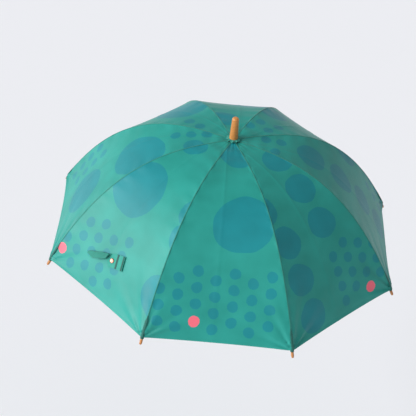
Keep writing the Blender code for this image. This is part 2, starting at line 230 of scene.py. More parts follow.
def wood_material(name, light, dark, pore, ring_mm, groove_shade=0.0):
    """Lacquered turned wood: long soft streaks, short pores and lathe rings, with painted shade in their
    grooves.
    """
    made, tree = new_material(name)
    grain = add_node(tree, "ShaderNodeUVMap", uv_map="grain").outputs["UV"]
    # Streaks 4 mm wide and 60 mm long, and pores 0.8 mm by 8 mm, twice the real size so that they show.
    streak = uneven(tree, grain, 260.0, 16.0, 4.0, 0.6)
    pores = uneven(tree, grain, 1300.0, 130.0, 2.0)
    tone = add_node(
        tree, "ShaderNodeValToRGB", {"Fac": streak}, stops=((0.32, linear(dark)), (0.68, linear(light)))
    )
    pore_mask = add_node(
        tree, "ShaderNodeMapRange", {"Value": pores, "From Min": 0.60, "From Max": 0.72, "To Max": 0.55}
    ).outputs["Result"]
    pored = add_node(
        tree, "ShaderNodeMix", {0: pore_mask, 6: tone.outputs["Color"], 7: linear(pore)}, data_type="RGBA"
    )
    along = (0.0, 1000 / ring_mm, 1.0)
    ring_place = add_node(tree, "ShaderNodeMapping", {"Vector": grain, "Scale": along})
    rings = add_node(
        tree,
        "ShaderNodeTexWave",
        {"Vector": ring_place.outputs["Vector"], "Scale": 0.5, "Distortion": 0.6, "Detail": 1.0},
        bands_direction="Y",
    ).outputs["Fac"]
    # Painted shade: the lathe rings' grooves are darkened towards the pore colour by the given share.
    painted_groove_shade = add_node(
        tree, "ShaderNodeMapRange", {"Value": rings, "From Max": 0.4, "To Min": groove_shade, "To Max": 0.0}
    ).outputs["Result"]
    colour = add_node(
        tree, "ShaderNodeMix", {0: painted_groove_shade, 6: pored.outputs[2], 7: linear(pore)}, data_type="RGBA"
    )
    ridges = add_node(tree, "ShaderNodeBump", {"Height": rings, "Strength": 0.22, "Distance": 0.0004})
    pitted = add_node(
        tree,
        "ShaderNodeBump",
        {"Height": pores, "Normal": ridges.outputs["Normal"], "Strength": 0.25, "Distance": 0.0003},
    )
    rough = add_node(tree, "ShaderNodeMapRange", {"Value": streak, "To Min": 0.36, "To Max": 0.52})
    look = {
        "Base Color": colour.outputs[2],
        "Roughness": rough.outputs["Result"],
        "Normal": pitted.outputs["Normal"],
        "Coat Weight": 0.25,
        "Coat Roughness": 0.22,
    }
    finish_material(tree, look)
    return made


lacquered_beech = wood_material("lacquered_beech", "#D39A5E", "#B9783F", "#8A5428", 2.2)

CROWN_Z = 0.545  # height of the cloth at the crown
SHAFT_R = 0.005
shaft = swept(
    "stick_shaft",
    [(0, 0, z) for z in (0.016, 0.017, 0.20, 0.40, CROWN_Z + 0.001, CROWN_Z + 0.002, CROWN_Z + 0.018)],
    [0.0046, SHAFT_R, SHAFT_R, SHAFT_R, SHAFT_R, 0.004, 0.004],
    lacquered_beech,
)
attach(shaft, "stick")
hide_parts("shaft")


# ---- Handle ---------------------------------------------------------------------------------------
# A crook steamed from one length of beech, rounded at its end, and a spun metal collar above it.
GRIP_R = 0.0096
CROOK_R = 0.030
GRIP_TOP, GRIP_LOW = 0.047, -0.026
CROOK_SWEEP = radians(196)
CROOK_END = 0.0055  # how far the rounded end stands past the sweep
crook = [(0, 0, z) for z in (GRIP_TOP, GRIP_TOP - 0.0008, 0.035, 0.010, -0.010, GRIP_LOW)]
thickness = [GRIP_R * 0.90, GRIP_R * 0.985, GRIP_R, GRIP_R, GRIP_R, GRIP_R]
for turn in np.linspace(0, CROOK_SWEEP, 45)[1:]:
    crook.append((0, CROOK_R * (1 - cos(turn)), GRIP_LOW - CROOK_R * sin(turn)))
    thickness.append(GRIP_R)
end_way = unit(np.subtract(crook[-1], crook[-2]))
crook_end = np.array(crook[-1])
for turn in np.linspace(0, pi / 2, 9)[1:]:
    crook.append(tuple(crook_end + end_way * CROOK_END * sin(turn)))
    thickness.append(GRIP_R * max(cos(turn) ** 0.7, 0.12))
crook_handle = swept("crook_handle", crook, thickness, lacquered_beech, sides=48)
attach(crook_handle, "stick")
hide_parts("handle")


def metal_material(name, colour, roughness, grit_mm):
    """Plated metal: bright, with the fine uneven polish that tumbling leaves, its grit drawn coarse."""
    made, tree = new_material(name)
    place = add_node(tree, "ShaderNodeTexCoord")
    grit = add_node(
        tree,
        "ShaderNodeTexNoise",
        {"Vector": place.outputs["Object"], "Scale": 1000 / grit_mm, "Detail": 3.0},
    ).outputs["Fac"]
    rough = add_node(
        tree, "ShaderNodeMapRange", {"Value": grit, "To Min": roughness - 0.08, "To Max": roughness + 0.1}
    )
    bright = linear(colour)
    dull = [0.86 * c for c in bright[:3]] + [1.0]
    tone = add_node(tree, "ShaderNodeValToRGB", {"Fac": grit}, stops=((0.0, dull), (1.0, bright)))
    bump = add_node(tree, "ShaderNodeBump", {"Height": grit, "Strength": 0.12, "Distance": 0.0002})
    look = {
        "Base Color": tone.outputs["Color"],
        "Metallic": 1.0,
        "Roughness": rough.outputs["Result"],
        "Normal": bump.outputs["Normal"],
    }
    finish_material(tree, look)
    return made


nickel_plate = metal_material("nickel_plate", "#C9CACC", 0.28, 3.0)


def outwards(piece):
    """Faces turned to point out of the closed shape."""
    solid = bmesh.new()
    solid.from_mesh(piece.data)
    bmesh.ops.recalc_face_normals(solid, faces=solid.faces)
    solid.to_mesh(piece.data)
    solid.free()


def spun_ring(name, profile, finish, sides=72):
    """A closed profile of (radius, height) spun round the shaft axis."""
    count = len(profile)
    points, faces = [], []
    for i in range(sides):
        turn = 2 * pi * i / sides
        points += [(r * cos(turn), r * sin(turn), z) for r, z in profile]
        j = (i + 1) % sides
        for a in range(count):
            b = (a + 1) % count
            faces.append([count * i + a, count * j + a, count * j + b, count * i + b])
    piece = mesh_piece(name, points, faces, finish)
    crease(piece, 32)
    outwards(piece)
    return piece


BORE_R = 0.0053  # what slides or sits on the shaft clears it by 0.3 mm
COLLAR_LOW = GRIP_TOP + 0.0003
collar_shape = [(BORE_R, 0.0), (0.0106, 0.0), (0.0112, 0.0006), (0.0112, 0.0016), (0.0105, 0.0022)]
collar_shape += [(0.0105, 0.0062), (0.0100, 0.0078), (0.0086, 0.0098), (0.0074, 0.0112)]
collar_shape += [(0.0070, 0.0120), (BORE_R, 0.0120)]
collar = spun_ring("handle_ferrule_ring", [(r, COLLAR_LOW + z) for r, z in collar_shape], nickel_plate)
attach(collar, "stick")
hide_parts("handle_collar")


# ---- Crown notch and runner -----------------------------------------------------------------------
# Moulded black nylon: a slotted ring pinned at the top of the shaft, and the sliding runner, whose
# slotted head takes the stretchers and whose sleeve ends in a flare for the thumb.
def grained_material(name, dark, light, per_metre, detail, pitted, roughness, ior=1.5):
    """A surface with an even grain in its colour and, where pitted, in its relief."""
    made, tree = new_material(name)
    place = add_node(tree, "ShaderNodeTexCoord")
    grain = add_node(
        tree,
        "ShaderNodeTexNoise",
        {"Vector": place.outputs["Object"], "Scale": per_metre, "Detail": detail},
    ).outputs["Fac"]
    tone = add_node(
        tree, "ShaderNodeValToRGB", {"Fac": grain}, stops=((0.0, linear(dark)), (1.0, linear(light)))
    )
    look = {"Base Color": tone.outputs["Color"], "Roughness": roughness, "IOR": ior}
    if pitted:
        bump = add_node(tree, "ShaderNodeBump", {"Height": grain, "Strength": pitted, "Distance": 0.0002})
        look["Normal"] = bump.outputs["Normal"]
    finish_material(tree, look)
    return made


# Black moulded nylon, faintly dull from the spark-eroded mould; its grain is drawn at 1.1 mm to show.
moulded_nylon = grained_material("moulded_nylon", "#1B1C1E", "#2B2C2F", 900.0, 2.0, 0.3, 0.46, ior=1.53)
RIBS = 8
RIB_STEP = 2 * pi / RIBS
FIRST_RIB = radians(157.5)  # the first rib's angle round the shaft; the others follow anticlockwise
HALF = RIB_STEP / 2
SLOT_HALF = 0.0013
SLOT_FLOOR_R, SLOT_END_R = 0.0069, 0.016


def turned_about_axis(points, angle):
    """Points in a rib's own plane (radial, across, up) stood at that angle round the shaft."""
    radial, across, up = np.asarray(points, float).T
    return np.column_stack(
        [radial * cos(angle) - across * sin(angle), radial * sin(angle) + across * cos(angle), up]
    )


def settled(piece):
    """The piece, with its modifiers' result as its plain mesh."""
    graph = bpy.context.evaluated_depsgraph_get()
    done = bpy.data.meshes.new_from_object(piece.evaluated_get(graph))
    piece.modifiers.clear()
    piece.data = done
    return piece


def soften(piece, label, width, degrees):
    """A narrow round on every edge sharper than that."""
    soft = piece.modifiers.new(label, "BEVEL")
    soft.width, soft.segments = width, 2
    soft.limit_method, soft.angle_limit = "ANGLE", radians(degrees)


def cut_slots(piece, low, high):
    """One radial slot for each rib."""
    points, faces = [], []
    corners = [(SLOT_FLOOR_R, -SLOT_HALF), (SLOT_END_R, -SLOT_HALF)]
    corners += [(SLOT_END_R, SLOT_HALF), (SLOT_FLOOR_R, SLOT_HALF)]
    box = [(0, 3, 2, 1), (4, 5, 6, 7), (0, 1, 5, 4), (1, 2, 6, 5), (2, 3, 7, 6), (3, 0, 4, 7)]
    for k in range(RIBS):
        faces += [[len(points) + i for i in f] for f in box]
        block = [(r, a, z) for z in (low, high) for r, a in corners]
        points += list(turned_about_axis(block, FIRST_RIB + k * RIB_STEP))
    cutter = mesh_piece("slot_cutter", points, faces, moulded_nylon, smooth=False)
    cut = piece.modifiers.new("slots", "BOOLEAN")
    cut.operation, cut.solver, cut.object = "DIFFERENCE", "EXACT", cutter
    soften(piece, "moulded edges", 0.00018, 50)
    settled(piece)
    bpy.data.objects.remove(cutter, do_unlink=True)
    crease(piece, 34)


NOTCH_LOW, NOTCH_TOP = CROWN_Z - 0.0125, CROWN_Z - 0.0022
notch_shape = [(BORE_R, NOTCH_LOW), (0.0112, NOTCH_LOW), (0.0120, NOTCH_LOW + 0.0008)]
notch_shape += [(0.0120, NOTCH_TOP - 0.0008), (0.0112, NOTCH_TOP), (BORE_R, NOTCH_TOP)]
notch = spun_ring("crown_notch_ring", notch_shape, moulded_nylon)
cut_slots(notch, NOTCH_LOW - 0.002, NOTCH_TOP - 0.0022)
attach(notch, "stick")
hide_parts("crown_notch")

runner_low, runner_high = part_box("runner")
HEAD_TOP = runner_high[2]
HEAD_LOW = HEAD_TOP - 0.0096
SLEEVE_LOW = runner_low[2]
sleeve_shape = [(BORE_R, 0.0), (0.0086, 0.0), (0.0092, 0.0007), (0.0091, 0.0022), (0.0080, 0.0042)]
sleeve_shape += [(0.0070, 0.0070), (0.0068, 0.0100)]
runner_shape = [(r, SLEEVE_LOW + z) for r, z in sleeve_shape]
runner_shape += [(0.0068, HEAD_LOW), (0.0107, HEAD_LOW), (0.0115, HEAD_LOW + 0.0008)]
runner_shape += [(0.0115, HEAD_TOP - 0.0008), (0.0107, HEAD_TOP), (BORE_R, HEAD_TOP)]
runner = spun_ring("runner_moulding", runner_shape, moulded_nylon)
cut_slots(runner, HEAD_LOW - 0.0001, HEAD_TOP + 0.003)
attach(runner, "runner")
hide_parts("runner")


# ---- Catches, ribs and stretchers -----------------------------------------------------------------
# Nickel-plated steel pressings, with their edges rolled soft, and black drawn glass-fibre rods for
# the springy outer lengths of the ribs.
def rolled(name, node, finish, edge):
    """A copy of the frame's own piece with its edges rolled over."""
    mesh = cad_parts[node].data.copy()
    solid = bmesh.new()
    solid.from_mesh(mesh)
    bmesh.ops.remove_doubles(solid, verts=solid.verts, dist=1e-6)
    bmesh.ops.dissolve_limit(solid, angle_limit=radians(1.0), verts=solid.verts, edges=solid.edges)
    solid.to_mesh(mesh)
    solid.free()
    piece = bpy.data.objects.new(name, mesh)
    bpy.context.scene.collection.objects.link(piece)
    mesh.materials.clear()
    mesh.materials.append(finish)
    soften(piece, "rolled edges", edge, 52)
    settled(piece)
    crease(piece, 48)
    return piece


for label, node in (("upper_catch", "top_catch"), ("lower_catch", "low_catch")):
    piece = rolled(label, node, nickel_plate, 0.00012)
    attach(piece, "stick")
    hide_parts(node)


# Black glass fibre, drawn smooth through a die: half gloss, with lighter flecks of fibre 2.4 mm apart.
drawn_glass_fibre = grained_material("drawn_glass_fibre", "#17181A", "#333438", 420.0, 3.0, 0.15, 0.38)
CANOPY_R = 0.398  # shaft axis to the cloth corner at a rib tip
CANOPY_DROP = 0.2458  # how far that corner lies below the crown
CANOPY_POWER = 2.927  # how sharply the ribs bend down towards their tips
RIB_OFFSET = 0.0033  # the ribs' middle line lies this far below the cloth
SPLIT_R = 0.46 * CANOPY_R  # where a rib's channel ends, and the cloth folds
ROD_R, ROD_STEP = 0.00145, 0.006


def cloth_z(r):
    return CROWN_Z - CANOPY_DROP * (r / CANOPY_R) ** CANOPY_POWER


def cloth_slope(r):
    return CANOPY_DROP * CANOPY_POWER / CANOPY_R * (r / CANOPY_R) ** (CANOPY_POWER - 1)


def below_cloth(r, depth):
    """A point of a rib's plane at that depth below the cloth, square to it."""
    slope = cloth_slope(r)
    length = sqrt(1 + slope * slope)
    return np.array([r - depth * slope / length, 0.0, cloth_z(r) - depth / length])


def path_tree(name, sizes):
    """A Geometry Nodes tree that takes edges and those sizes, with its input node and even points."""
    made = bpy.data.node_groups.new(name, "GeometryNodeTree")
    made.interface.new_socket("Geometry", in_out="INPUT", socket_type="NodeSocketGeometry")
    for label in sizes:
        made.interface.new_socket(label, in_out="INPUT", socket_type="NodeSocketFloat")
    made.interface.new_socket("Geometry", in_out="OUTPUT", socket_type="NodeSocketGeometry")
    start = add_node(made, "NodeGroupInput")
    line = add_node(made, "GeometryNodeMeshToCurve", {"Mesh": start.outputs["Geometry"]})
    even = add_node(
        made,
        "GeometryNodeResampleCurve",
        {"Curve": line.outputs["Curve"], "Length": start.outputs[sizes[0]]},
        mode="LENGTH",
    )
    return made, start, even.outputs["Curve"]


def finish_tree(tree, geometry, finish):
    """The tree's last nodes, which make its instances real and give them their material."""
    whole = add_node(tree, "GeometryNodeRealizeInstances", {"Geometry": geometry})
    smooth = add_node(tree, "GeometryNodeSetShadeSmooth", {"Geometry": whole.outputs["Geometry"]})
    painted = add_node(
        tree, "GeometryNodeSetMaterial", {"Geometry": smooth.outputs["Geometry"], "Material": finish}
    )
    add_node(tree, "NodeGroupOutput", {"Geometry": painted.outputs["Geometry"]})


def rod_tree(finish):
    """Geometry Nodes: a round rod drawn along the object's edges."""
    made, start, even = path_tree("drawn_rod", ("Step", "Rod Radius"))
    outline = {"Resolution": 14, "Radius": start.outputs["Rod Radius"]}
    ring = add_node(made, "GeometryNodeCurvePrimitiveCircle", outline)
    rod = add_node(
        made,
        "GeometryNodeCurveToMesh",
        {"Curve": even, "Profile Curve": ring.outputs["Curve"], "Fill Caps": True},
    )
    finish_tree(made, rod.outputs["Mesh"], finish)
    return made


def grown(piece, tree, sizes):
    """The object's mesh replaced by what the tree makes of it, with inputs set by identifier."""
    step = piece.modifiers.new(tree.name, "NODES")
    step.node_group = tree
    for item in tree.interface.items_tree:
        if item.item_type == "SOCKET" and item.in_out == "INPUT" and item.name in sizes:
            step[item.identifier] = sizes[item.name]
    return settled(piece)


def edge_path(name, points, finish):
    """A line of edges through the points, for a tree to build on."""
    edges = [(i, i + 1) for i in range(len(points) - 1)]
    mesh = bpy.data.meshes.new(name)
    mesh.from_pydata([tuple(map(float, p)) for p in points], edges, [])
    made = bpy.data.objects.new(name, mesh)
    bpy.context.scene.collection.objects.link(made)
    mesh.materials.append(finish)
    return made


fibre_rod = rod_tree(drawn_glass_fibre)
for k in range(RIBS):
    angle = FIRST_RIB + k * RIB_STEP
    for label, node, body in (
        (f"rib_channel_{k + 1}", f"rib_inner_{k + 1}", f"rib_{k + 1}"),
        (f"stretcher_bar_{k + 1}", f"stretcher_{k + 1}", f"strut_{k + 1}"),
    ):
        piece = rolled(label, node, nickel_plate, 0.00015)
        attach(piece, body)
        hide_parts(node)
    line = [below_cloth(SPLIT_R + 0.0009, RIB_OFFSET)]
    line += [below_cloth(r, RIB_OFFSET) for r in np.linspace(SPLIT_R + 0.006, CANOPY_R, 40)]
    rod = edge_path(f"rib_rod_{k + 1}", turned_about_axis(line, angle), drawn_glass_fibre)
    grown(rod, fibre_rod, {"Rod Radius": ROD_R, "Step": ROD_STEP})
    crease(rod, 50)
    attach(rod, f"rib_end_{k + 1}")
    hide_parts(f"rib_outer_{k + 1}")


# ---- Rib tips -------------------------------------------------------------------------------------
# Small turned beech caps, stained a little darker than the stick, pushed on the rod ends.
stained_beech = wood_material("stained_beech", "#C98A4C", "#A9692F", "#7A4A22", 1.4)
tip_way = unit(below_cloth(CANOPY_R, RIB_OFFSET) - below_cloth(0.985 * CANOPY_R, RIB_OFFSET))
tip_foot = below_cloth(CANOPY_R, RIB_OFFSET) + tip_way * 0.00045
TIP_LENGTH = 0.0145
TIP_R = 0.0030
tip_shape = [(0.0, 0.55), (0.02, 0.78), (0.10, 0.90), (0.35, 1.0), (0.62, 0.99), (0.80, 0.92)]
tip_shape += [(0.90, 0.78), (0.96, 0.58), (0.99, 0.32), (1.0, 0.10)]
for k in range(RIBS):
    line = [tip_foot + tip_way * TIP_LENGTH * share for share, _ in tip_shape]
    points = turned_about_axis(line, FIRST_RIB + k * RIB_STEP)
    tip = swept(f"turned_tip_{k + 1}", points, [TIP_R * size for _, size in tip_shape], stained_beech, 28)
    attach(tip, f"rib_end_{k + 1}")
    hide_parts(f"rib_tip_{k + 1}")


# ---- Canopy ---------------------------------------------------------------------------------------
# Eight gores of plain-woven polyester, screen printed with dots before cutting, sewn edge to edge and
# pulled tight by the ribs. Each gore is in two lengths that meet edge to edge where the canopy folds.
PANEL_SAG = 0.008  # inward bow of a panel's middle, as a share of the radius
HEM_ARCH = 0.0008  # the hem's middle is cut this much shorter than its corners
CLOTH_T = 0.0005
DOUBLED = 0.00035  # how far a turned-up hem or a welt's middle stands over the cloth

# Printed dots, as (distance from the crown, distance across from the gore's middle, radius) in mm.
BIG_DOTS = {
    1: [(205, 27, 62), (370, 20, 58), (82, 30, 22)],
    2: [(230, -45, 63), (80, -32, 26), (208, 104, 34), (262, 122, 34), (385, 142, 44)],
    3: [(228, 32, 61), (52, 12, 40)],
    4: [(103, 30, 33), (184, 26, 35), (267, 28, 34), (190, -92, 35), (270, -75, 34), (350, -79, 34)]
    + [(432, -76, 35)],
    5: [(174, 0, 36), (258, -3, 36), (342, 7, 36), (428, 20, 36), (280, 112, 34)],
    6: [(175, 50, 36), (262, 46, 36), (345, 50, 36), (430, 46, 36)],
    7: [(84, 20, 30), (235, -30, 62), (395, 40, 58)],
    8: [(195, -25, 60), (330, 30, 58)],
}
# Rows of small dots: (first distance from the crown, first distance across, columns, rows).
SMALL_DOTS = {
    1: [(330, -100, 2, 4), (57, -12, 1, 3)],
    2: [(350, -97, 4, 4), (407, -133, 1, 2)],
    3: [(346, -88, 6, 4), (370, -125, 1, 3)],
    4: [(342, 21, 4, 4)],
    5: [(375, 96, 2, 4), (70, 14, 1, 2), (90, -24, 1, 1)],
    6: [(68, 19, 1, 2), (90, -15, 1, 2), (340, -110, 3, 4)],
    7: [(350, -110, 4, 4)],
    8: [(83, 20, 1, 2), (370, -110, 3, 4)],
}
PINK_DOTS = {
    2: [(435, -133, 12.2)],
    3: [(432, -51, 11.8)],
    4: [(443, 97, 12.5)],
    6: [(400, -73, 12)],
    8: [(395, 30, 12)],
}
SMALL_R, COLUMN_PITCH, ROW_PITCH = 11.5, 37.2, 33.2
PINK_CLEAR = 20  # a small dot nearer than this to a pink one is left out


def weave_relief(tree, flat, distortion, strength):
    """Plain weave, drawn at 1.2 mm a thread pair because the real 0.3 mm would not show."""
    place = add_node(tree, "ShaderNodeMapping", {"Vector": flat, "Scale": (830.0, 830.0, 1.0)})
    sets = [
        add_node(
            tree,
            "ShaderNodeTexWave",
            {"Vector": place.outputs["Vector"], "Scale": 0.5, "Distortion": distortion},
            bands_direction=way,
        ).outputs["Fac"]
        for way in ("X", "Y")
    ]
    weave = add_node(tree, "ShaderNodeMath", {0: sets[0], 1: sets[1]}, operation="MULTIPLY")
    bump = {"Height": weave.outputs["Value"], "Strength": strength, "Distance": 0.0003}
    return add_node(tree, "ShaderNodeBump", bump).outputs["Normal"]


def cloth_material():
    """Fine polyester, half matt with a faint sheen, its screen-printed ink sunk into the threads."""
    made, tree = new_material("printed_polyester")
    flat = add_node(tree, "ShaderNodeUVMap", uv_map="cut").outputs["UV"]
    # Ink that bleeds a little into the threads: the edge wanders by half a millimetre.
    bleed = uneven(tree, flat, 240.0, 240.0, 3.0)
    wander = add_node(tree, "ShaderNodeMapRange", {"Value": bleed, "To Min": -1.2, "To Max": 1.2})
    inked = []
    for field_name in ("print_blue", "print_pink"):
        field = add_node(tree, "ShaderNodeAttribute", attribute_name=field_name)
        sides = {0: field.outputs["Fac"], 1: wander.outputs["Result"]}
        moved = add_node(tree, "ShaderNodeMath", sides, operation="ADD").outputs["Value"]
        edge = {"Value": moved, "From Min": -0.5, "From Max": 0.5, "To Min": 1.0, "To Max": 0.0}
        inked.append(add_node(tree, "ShaderNodeMapRange", edge).outputs["Result"])
    # Cloth and ink, faded unevenly by wear over patches some 60 mm across.
    fade = uneven(tree, flat, 16.0, 16.0, 2.0)
    ground, ink = [
        add_node(
            tree, "ShaderNodeValToRGB", {"Fac": fade}, stops=((0.3, linear(worn)), (0.7, linear(fresh)))
        ).outputs["Color"]
        for worn, fresh in (("#158B80", "#1F978C"), ("#007D84", "#04878F"))
    ]
    # Painted shade: within 2.4 mm of a seam, where the cloth is doubled and turns under, its colour is
    # darkened.
    seam = add_node(tree, "ShaderNodeAttribute", attribute_name="seam_mm").outputs["Fac"]
    turned = {"Value": seam, "From Min": 0.4, "From Max": 2.4, "To Min": 0.35, "To Max": 0.0}
    painted_seam_shade = add_node(tree, "ShaderNodeMapRange", turned).outputs["Result"]
    colour = ground
    laid_on = ((inked[0], ink), (inked[1], linear("#ED6B7C")), (painted_seam_shade, linear("#16706A")))
    for share, over in laid_on:
        layers = {0: share, 6: colour, 7: over}
        colour = add_node(tree, "ShaderNodeMix", layers, data_type="RGBA").outputs[2]
    threads = weave_relief(tree, flat, 0.4, 0.12)
    crumple = {"Height": bleed, "Normal": threads, "Strength": 0.10, "Distance": 0.0006}
    look = {
        "Base Color": colour,
        "Roughness": 0.5,
        "Normal": add_node(tree, "ShaderNodeBump", crumple).outputs["Normal"],
        "Specular IOR Level": 0.42,
        "Sheen Weight": 0.16,
        "Sheen Roughness": 0.25,
        "Sheen Tint": linear("#E4F6F4"),
    }
    finish_material(tree, look)
    return made


printed_polyester = cloth_material()


def wobble(turn, seed):
    """The hand-drawn outline of a dot: its radius varies a few per cent round it."""
    slow = 0.035 * np.sin(2 * turn + seed) + 0.025 * np.sin(3 * turn + 2.3 * seed + 1)
    return 1 + slow + 0.012 * np.sin(5 * turn + 3.1 * seed) + 0.008 * np.sin(9 * turn + 1.7 * seed)


def dot_field(s, t, dots):
    """Distance in mm outside the nearest of those dots, negative inside."""
    nearest = np.full(s.shape, 60.0)
    for s0, t0, radius in dots:
        turn = np.arctan2(t - t0, s - s0)
        nearest = np.minimum(nearest, np.hypot(s - s0, t - t0) - radius * wobble(turn, s0 + 3 * t0))
    return nearest


def small_dots(gore):
    """The small dots of a gore: columns set half a step off each other."""
    pink = PINK_DOTS.get(gore, [])
    made = []
    for first_s, first_t, columns, rows in SMALL_DOTS[gore]:
        for column in range(columns):
            for row in range(rows):
                s0 = first_s + ROW_PITCH * row - (ROW_PITCH / 2 if column % 2 else 0)
                t0 = first_t + COLUMN_PITCH * column
                if all(np.hypot(s0 - s, t0 - t) > PINK_CLEAR for s, t, _ in pink):
                    made.append((s0, t0, SMALL_R))
    return made


def smooth_step(x):
    x = np.clip(x, 0, 1)
    return x * x * (3 - 2 * x)


def puckers(s, t, half_width, to_hem, gore):
    """How far the cloth stands out of its plain surface, in metres, in the creases it is pulled into."""
    out = np.zeros_like(s)
    for sign in (-1, 1):
        across = half_width - sign * t
        reach = np.hypot(across, to_hem)
        turn = np.arctan2(across, np.maximum(to_hem, 1e-6))
        # Rays from the pull of the corner, which die away over 55 mm.
        rays = np.sin(turn * 9 + gore * 1.7 + sign) + 0.5 * np.sin(turn * 17 + gore * 0.9)
        out += 0.0023 * rays * np.exp(-reach / 0.055) * np.clip(reach / 0.012, 0, 1)
        # Puckers along the seam: fine ones 11 mm apart, and broad ones 34 mm apart.
        out += 0.00035 * np.sin(s * 2 * pi / 0.011 + gore + sign) * np.exp(-across / 0.006)
        out += 0.0007 * np.sin(s * 2 * pi / 0.034 + 2 * gore) * np.exp(-across / 0.018)
    # The sharp fold that stays down the middle from the way the cloth was packed.
    out += 0.0005 * np.exp(-np.abs(t + 0.012) / 0.003)
    # Gathers that run out from the crown, then the cloth's own slow unevenness.
    out += 0.0005 * np.sin(t / np.maximum(half_width, 1e-4) * 9 + gore) * np.exp(-s / 0.03)
    out += 0.0005 * np.sin(s * 21 + gore * 2.1) * np.cos(t * 26 + gore)
    # The seams hold both gores to one line.
    return out * smooth_step((half_width - np.abs(t)) / 0.005)


profile_r = np.linspace(0.0, CANOPY_R, 2000)
profile_s = lengths_along(np.column_stack([profile_r * cos(HALF), cloth_z(profile_r)]))


def flat_s(r):
    """Distance from the crown along a gore's middle, for the corner radius r."""
    return np.interp(r, profile_r, profile_s)


def gore_angle(gore):
    return FIRST_RIB + HALF + (gore - 1) * RIB_STEP


def gore_point(r, across, lift):
    """Points of a gore in its own plane: r is the corner radius of the row, across runs from -1 to 1."""
    bow = PANEL_SAG * r * (1 - across * across)
    slope = cloth_slope(r)
    length = np.sqrt(1 + slope * slope)
    inward = (bow - lift) / length
    return np.stack([r * cos(HALF) - inward * slope, across * r * sin(HALF), cloth_z(r) - inward], -1)


def shell_faces(tall, wide):
    """Faces of a closed sheet of two layers of that many rows and columns: top, under and rim."""
    a = [i * wide + j for i in range(tall - 1) for j in range(wide - 1)]
    sheet = tall * wide
    top = [[q, q + wide, q + wide + 1, q + 1] for q in a]
    under = [[sheet + q, sheet + q + 1, sheet + q + wide + 1, sheet + q + wide] for q in a]
    rim = list(range(wide)) + [q * wide + wide - 1 for q in range(1, tall)]
    rim += [(tall - 1) * wide + q for q in range(wide - 2, -1, -1)]
    rim += [q * wide for q in range(tall - 2, 0, -1)]
    return top, under, [[b, q, sheet + q, sheet + b] for q, b in zip(rim, rim[1:] + rim[:1])]


def lay_flat(piece, spots):
    """The piece's map "cut": where each of its points lies on the flat cloth, in metres."""
    corners = np.empty(len(piece.data.loops), np.int32)
    piece.data.loops.foreach_get("vertex_index", corners)
    add_uv(piece, "cut", np.asarray(spots)[corners])


GORE_COLUMNS = 65
HEM_WIDE = 0.0075  # how far up the hem is turned


def gore_sheet(name, gore, radii, hem):
    """A gore's length of cloth, a closed shell half a millimetre thick, with its print laid on it."""
    across = np.linspace(-1, 1, GORE_COLUMNS)
    rows = np.repeat(radii[:, None], GORE_COLUMNS, 1)
    share = (rows - SPLIT_R) / (CANOPY_R - SPLIT_R)
    if hem:
        rows = rows - HEM_ARCH * (1 - across**2)[None, :] * np.clip(share, 0, 1) ** 6
    a = np.repeat(across[None, :], len(radii), 0)
    s, half_width = flat_s(rows), rows * sin(HALF)
    t = a * half_width
    to_hem = flat_s(CANOPY_R - HEM_ARCH * (1 - a * a)) - s
    lift = puckers(s, t, half_width, to_hem, gore)
    # The hem is turned up twice, so it stands half a thickness proud.
    lift += DOUBLED * np.clip((HEM_WIDE - to_hem) / 0.0008, 0, 1)
    layers = [gore_point(rows, a, lift + side * CLOTH_T / 2).reshape(-1, 3) for side in (1, -1)]
    points = turned_about_axis(np.concatenate(layers), gore_angle(gore))
    top, under, rim = shell_faces(len(radii), GORE_COLUMNS)
    piece = mesh_piece(name, points, top + under + rim, printed_polyester)
    outwards(piece)
    crease(piece, 60)
    small = dot_field(s * 1000, t * 1000, small_dots(gore))
    fields = {
        "print_blue": np.minimum(small, dot_field(s * 1000, t * 1000, BIG_DOTS[gore])),
        "print_pink": dot_field(s * 1000, t * 1000, PINK_DOTS.get(gore, [])),
        "seam_mm": (half_width - np.abs(t)) * 1000,
    }
    for key_name, values in fields.items():
        layer = piece.data.attributes.new(key_name, "FLOAT", "POINT")
        layer.data.foreach_set("value", np.tile(values.ravel(), 2).astype(np.float32))
    # Each gore lies in its own 0.4 m lane, so that no two share a patch of cloth.
    lay_flat(piece, np.column_stack([np.tile(t.ravel(), 2) + gore * 0.4, np.tile(s.ravel(), 2)]))
    widths = 2 * radii * sin(HALF)
    return piece, float(np.sum((widths[1:] + widths[:-1]) / 2 * np.diff(flat_s(radii))))


# Rows stand closer at the crown and at the hem, where the cloth is gathered and turned up.
UPPER_ROWS = np.concatenate([np.linspace(0.0076, 0.03, 9)[:-1], np.linspace(0.03, SPLIT_R, 40)])
HEM_ROWS = np.linspace(0.386, CANOPY_R - 0.0005, 14)
LOWER_ROWS = np.concatenate([np.linspace(SPLIT_R, HEM_ROWS[0], 68)[:-1], HEM_ROWS])


def folds(piece, body):
    """The piece goes with its cloth body, on a mesh of its own."""
    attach(piece, body)
    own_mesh(piece)


for gore in range(1, RIBS + 1):
    for part, radii, body in (
        ("upper", UPPER_ROWS, f"cloth_{gore}"),
        ("lower", LOWER_ROWS, f"cloth_end_{gore}"),
    ):
        piece, cut_area = gore_sheet(f"canopy_{part}_{gore}", gore, radii, part == "lower")
        folds(piece, body)
        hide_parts(f"gore_{part}_{gore}")

